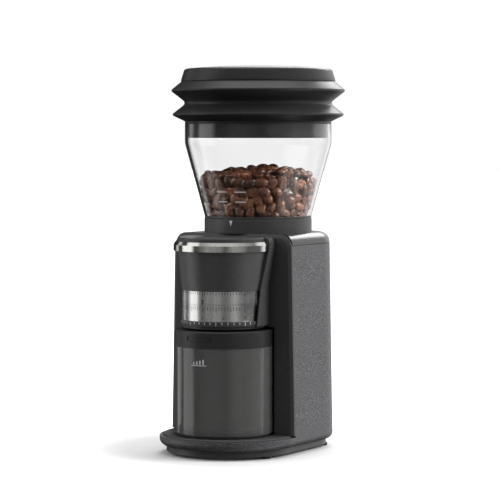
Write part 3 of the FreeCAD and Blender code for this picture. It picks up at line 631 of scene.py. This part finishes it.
def bean_places(draw):
    """Centre and direction of each bean's thin axis, against the glass and over the heap."""
    places = []
    z = GLASS_LOW + 3.8 * MM
    level = 0
    while z < HEAP_EDGE_Z:
        for depth, spacing in GLASS_LAYERS:
            ring = glass_radius(z) - GLASS_WALL - depth
            count = int(2 * math.pi * ring / spacing)
            for i in range(count):
                angle = 2 * math.pi * (i + 0.5 * (level % 2) + draw.uniform(-0.22, 0.22)) / count
                r = ring - draw.uniform(0, 1.0 * MM)
                out = Vector((math.cos(angle), math.sin(angle), draw.uniform(-0.4, 0.4)))
                lift = draw.uniform(-1.6, 1.6) * MM
                places.append((Vector((r * math.cos(angle), r * math.sin(angle), z + lift)), out))
        z += ROW_RISE
        level += 1
    edge = glass_radius(HEAP_EDGE_Z) - GLASS_WALL - 5 * MM
    r = 0.0
    while r < edge:
        count = max(1, int(2 * math.pi * r / HEAP_SPACING))
        for i in range(count):
            angle = 2 * math.pi * (i + draw.uniform(-0.3, 0.3)) / count
            spot = Vector((r * math.cos(angle), r * math.sin(angle), 0))
            share = min(1.0, (spot - HEAP_PEAK).length / edge)
            height = HEAP_EDGE_Z + HEAP_RISE * (1 - share ** 1.6) + draw.uniform(-1.5, 1.2) * MM
            out = Vector((draw.uniform(-0.6, 0.6), draw.uniform(-0.6, 0.6), 1))
            places.append((Vector((spot.x, spot.y, height)), out))
        r += HEAP_RING_STEP
    return places


def build_beans():
    """Loose beans packed against the glass and heaped in the middle, over a dark core that paints the shade
    in the gaps between them.
    """
    draw = random.Random(BEAN_SEED)
    shape, shape_faces = bean_shape()
    vertices = []
    faces = []
    for place, out in bean_places(draw):
        flip = -1 if draw.random() < 0.45 else 1
        spin = Euler((0, 0, draw.uniform(0, math.pi))).to_quaternion()
        turn = (out * flip).to_track_quat("Z", "X") @ spin
        size = draw.uniform(0.88, 1.06)
        base = len(vertices)
        spot = place + Vector((HOPPER_X, HOPPER_Y, 0))
        vertices.extend([turn @ (v * size) + spot for v in shape])
        faces.extend([tuple(base + i for i in face) for face in shape_faces])
    floor = GLASS_LOW + 0.3 * MM
    vertices = [Vector((v.x, v.y, max(v.z, floor))) for v in vertices]
    beans = new_object("beans", vertices, faces, MATERIALS["roasted_beans"])
    mount(beans, "hopper", "roasted_beans", "coffee_beans")
    # Painted shade: a dark solid inside the heap that shows as shade in the gaps between the beans.
    outline = [
        (0, floor), (glass_radius(floor) - CORE_GAP, floor),
        (glass_radius(CORE_TOP_Z) - CORE_GAP, CORE_TOP_Z - 4 * MM),
        (20 * MM, CORE_TOP_Z + 2 * MM), (0, CORE_TOP_Z + 3 * MM),
    ]
    core = lathe("bean_shade_core", outline, HOPPER_X, HOPPER_Y, MATERIALS["bean_shadow"], 64)
    mount(core, "hopper", "roasted_beans")


# ---- dial ----------------------------------------------------------------
def build_scale_marks():
    """Scale lines, the index and the numbers on the two metal rings, and the ticks of the grip ring."""
    radius = radius_of("dial_scale")
    fixed_top = top("upper_scale")
    turning_top = top("dial_scale")
    thin, lift = LINE_WIDTH, PRINT_LIFT
    fixed = []
    turning = []
    for degrees in range(0, 360, LINE_STEP_DEGREES):
        angle = math.radians(degrees)
        long = degrees % LONG_LINE_DEGREES == 0
        length = (2.9 if long else 2.0) * MM
        fixed.append(curved_patch(
            BURR_X, BURR_Y, radius, angle, fixed_top - 0.5 * MM - length / 2, thin, length, lift, lift, 1))
        length = (4.2 if long else 3.0) * MM
        turning.append(curved_patch(
            BURR_X, BURR_Y, radius, angle, turning_top - 1.4 * MM - length / 2, thin, length, lift, lift, 1))
    fixed.append(curved_patch(
        BURR_X, BURR_Y, radius, 0.0, bottom("upper_scale") + 1.7 * MM, 0.9 * MM, 3.0 * MM, lift, lift, 2))
    fixed.append(curved_patch(
        BURR_X, BURR_Y, radius, 0.0, bottom("upper_scale") + 3.2 * MM, 1.7 * MM, 1.1 * MM, lift, lift, 2))
    mount(join_patches("fixed_scale_lines", fixed, MATERIALS["scale_line"]), "housing", "scale_metal")
    mount(join_patches("dial_scale_lines", turning, MATERIALS["scale_line"]), "dial", "scale_metal")
    grip_radius = radius_of("dial_grip")
    grip_low, grip_high = bottom("dial_grip"), top("dial_grip")
    ticks = []
    for i in range(GRIP_TICKS):
        angle = 2 * math.pi * (i + 0.5) / GRIP_TICKS
        length = (2.8 if i % 5 == 2 else 1.9) * MM
        ticks.append(curved_patch(
            BURR_X, BURR_Y, grip_radius, angle, grip_high - 0.4 * MM - length / 2, 0.55 * MM, length,
            0.02 * MM, 0.03 * MM, 2))
    mount(join_patches("grip_ticks", ticks, MATERIALS["white_mark"]), "dial", "white_mark")
    build_dial_numbers(radius, grip_low)


def build_dial_numbers(radius, grip_low):
    """Numbers below the scale lines, bent round the ring."""
    base_z = grip_low + 6.0 * MM
    vertices = []
    faces = []
    for index in range(DIAL_NUMBERS):
        curve = bpy.data.curves.new("digits", "FONT")
        curve.body = str(index * NUMBER_STEP)
        curve.size = DIGIT_HEIGHT * 1.35
        curve.align_x = "CENTER"
        curve.extrude = DIGIT_DEPTH
        holder = bpy.data.objects.new("digits", curve)
        bpy.context.scene.collection.objects.link(holder)
        bpy.context.view_layer.update()
        mesh = bpy.data.meshes.new_from_object(holder)
        base = len(vertices)
        turn = math.radians(360 / DIAL_NUMBERS * index)
        for vertex in mesh.vertices:
            angle = turn + vertex.co.x / radius
            out = radius + DIGIT_DEPTH + vertex.co.z
            vertices.append((
                BURR_X + out * math.sin(angle), BURR_Y - out * math.cos(angle), base_z + vertex.co.y))
        faces.extend([tuple(base + i for i in face.vertices) for face in mesh.polygons])
        bpy.data.objects.remove(holder)
        bpy.data.curves.remove(curve)
        bpy.data.meshes.remove(mesh)
    digits = new_object("dial_numbers", vertices, faces, MATERIALS["scale_line"], smooth=False)
    mount(digits, "dial", "scale_metal")


# ---- cup -----------------------------------------------------------------
def build_cup_mark():
    """Plain dose mark on the front of the cup: a short row of bars over a line."""
    radius = radius_of("cup_jar")
    z = DOSE_MARK_Z
    patches = []
    for i in range(4):
        height = (1.6 + 0.8 * i) * MM
        angle = (i - 1.5) * 3.0 * MM / radius
        middle_z = z - 0.6 * MM + height / 2
        patches.append(curved_patch(
            BURR_X, BURR_Y, radius, angle, middle_z, 1.3 * MM, height, 0.06 * MM, 0.02 * MM, 2))
    patches.append(curved_patch(
        BURR_X, BURR_Y, radius, 0.0, z - 1.6 * MM, 14 * MM, 0.6 * MM, 0.06 * MM, 0.02 * MM, 8))
    mount(join_patches("cup_dose_mark", patches, MATERIALS["white_mark"]), "cup", "white_mark")


# ---- stage, light and camera ---------------------------------------------
def build_stage():
    """White floor that glows more with distance, so it meets the background without an edge; the glow is
    painted light, and where it fades out near the middle it paints a darker shade round the object's foot.
    """
    far = FLOOR_HALF
    vertices = [(-far, -far, 0), (far, -far, 0), (far, far, 0), (-far, far, 0)]
    m = Surface("floor")
    fine = m.noise(40.0, 3.0)
    m.feed(m.ramp(fine, [(0.3, (0.86, 0.86, 0.86)), (0.7, (0.88, 0.88, 0.88))]), "Base Color")
    m.set(Roughness=0.6, Specular_IOR_Level=0.15, Emission_Color=WHITE)
    distance = m.add("ShaderNodeVectorMath", operation="LENGTH")
    m.link(m.place(), distance.inputs[0])
    # Painted light and shade: the floor glows though it is no lamp, and the glow fades out near the middle
    # to paint a darker patch round the object's foot.
    glow = m.smooth_step(distance.outputs["Value"], FLOOR_PAINTED_SHADE_RADIUS, FLOOR_GLOW_FULL)
    m.feed(glow, "Emission Strength")
    floor = new_object("floor", vertices, [(0, 1, 2, 3)], m.material, smooth=False)
    floor.visible_diffuse = False
    floor.visible_glossy = False
    floor.visible_transmission = False


def area_light(name, place, width, height, watts, mirrored):
    light = bpy.data.lights.new(name, "AREA")
    light.shape = "RECTANGLE"
    light.size = width
    light.size_y = height
    light.energy = watts
    lamp = bpy.data.objects.new(name, light)
    lamp.location = place
    lamp.rotation_euler = (Vector(LAMP_TARGET) - Vector(place)).to_track_quat("-Z", "Y").to_euler()
    lamp.visible_camera = False
    lamp.visible_glossy = mirrored
    bpy.context.scene.collection.objects.link(lamp)


def studio_colour(g):
    """Brightness of the studio by direction: bands round the object, another set below them,
    and one even level overhead."""
    turn = g.add("ShaderNodeVectorRotate", rotation_type="Z_AXIS", Angle=-VIEW_AZIMUTH)
    g.link(g.add("ShaderNodeTexCoord").outputs["Generated"], turn.inputs["Vector"])
    axes = g.add("ShaderNodeSeparateXYZ")
    g.link(turn.outputs[0], axes.inputs[0])
    side, depth, up = axes.outputs
    around = g.combine("ARCTAN2", side, g.combine("MULTIPLY", depth, -1.0))
    share = g.combine("MULTIPLY_ADD", around, 1 / (2 * math.pi), 0.5)

    def bands(levels):
        return g.ramp(share, [(0.5 + degrees / 360, (level, level, level)) for degrees, level in levels])

    overhead = g.add("ShaderNodeRGB").outputs[0]
    overhead.default_value = (OVERHEAD_LEVEL, OVERHEAD_LEVEL, OVERHEAD_LEVEL, 1)
    level_view = g.mix(g.smooth_step(up, *BELOW_TO_LEVEL), bands(BELOW_BANDS), bands(STUDIO_BANDS))
    return g.mix(g.smooth_step(up, *LEVEL_TO_OVERHEAD), level_view, overhead)


def build_light():
    """Studio that lights the object and is mirrored in it, a white ground seen directly or
    through the glass, and the lamps."""
    world = bpy.data.worlds.new("studio")
    world.use_nodes = True
    g = Graph(world.node_tree)
    studio = g.tree.nodes["Background"]
    g.link(studio_colour(g), studio.inputs["Color"])
    studio.inputs["Strength"].default_value = 1.0
    ground = g.add("ShaderNodeBackground", Color=WHITE, Strength=1.0)
    rays = g.add("ShaderNodeLightPath").outputs
    bounces = g.combine("ADD", rays["Diffuse Depth"], rays["Glossy Depth"])
    straight = g.combine("LESS_THAN", bounces, 0.5)
    through = g.combine("MULTIPLY", rays["Is Transmission Ray"], straight)
    looked_at = g.combine("MAXIMUM", rays["Is Camera Ray"], through)
    choose = g.add("ShaderNodeMixShader")
    g.link(looked_at, choose.inputs[0])
    g.link(studio.outputs[0], choose.inputs[1])
    g.link(ground.outputs[0], choose.inputs[2])
    g.link(choose.outputs[0], g.tree.nodes["World Output"].inputs["Surface"])
    bpy.context.scene.world = world
    for lamp in LAMPS:
        area_light(*lamp)


def build_camera():
    """Camera at the viewing angle: a long lens, level with the glass and looking slightly down."""
    right = Vector((math.cos(VIEW_AZIMUTH), math.sin(VIEW_AZIMUTH), 0))
    forward = Vector((-math.sin(VIEW_AZIMUTH), math.cos(VIEW_AZIMUTH), 0))
    aim = Vector((HOPPER_X, HOPPER_Y, CAMERA_HEIGHT))
    direction = forward * math.cos(VIEW_PITCH) - Vector((0, 0, math.sin(VIEW_PITCH)))
    camera = bpy.data.cameras.new("camera")
    camera.lens = FOCAL_LENGTH
    holder = bpy.data.objects.new("camera", camera)
    holder.location = aim - forward * CAMERA_DISTANCE - right * CAMERA_SHIFT_LEFT
    holder.rotation_euler = direction.to_track_quat("-Z", "Y").to_euler()
    bpy.context.scene.collection.objects.link(holder)
    bpy.context.scene.camera = holder


dress_nodes()
build_lid()
build_glass()
build_beans()
build_scale_marks()
build_cup_mark()
build_stage()
build_light()
build_camera()
bpy.context.scene.view_settings.view_transform = "Standard"
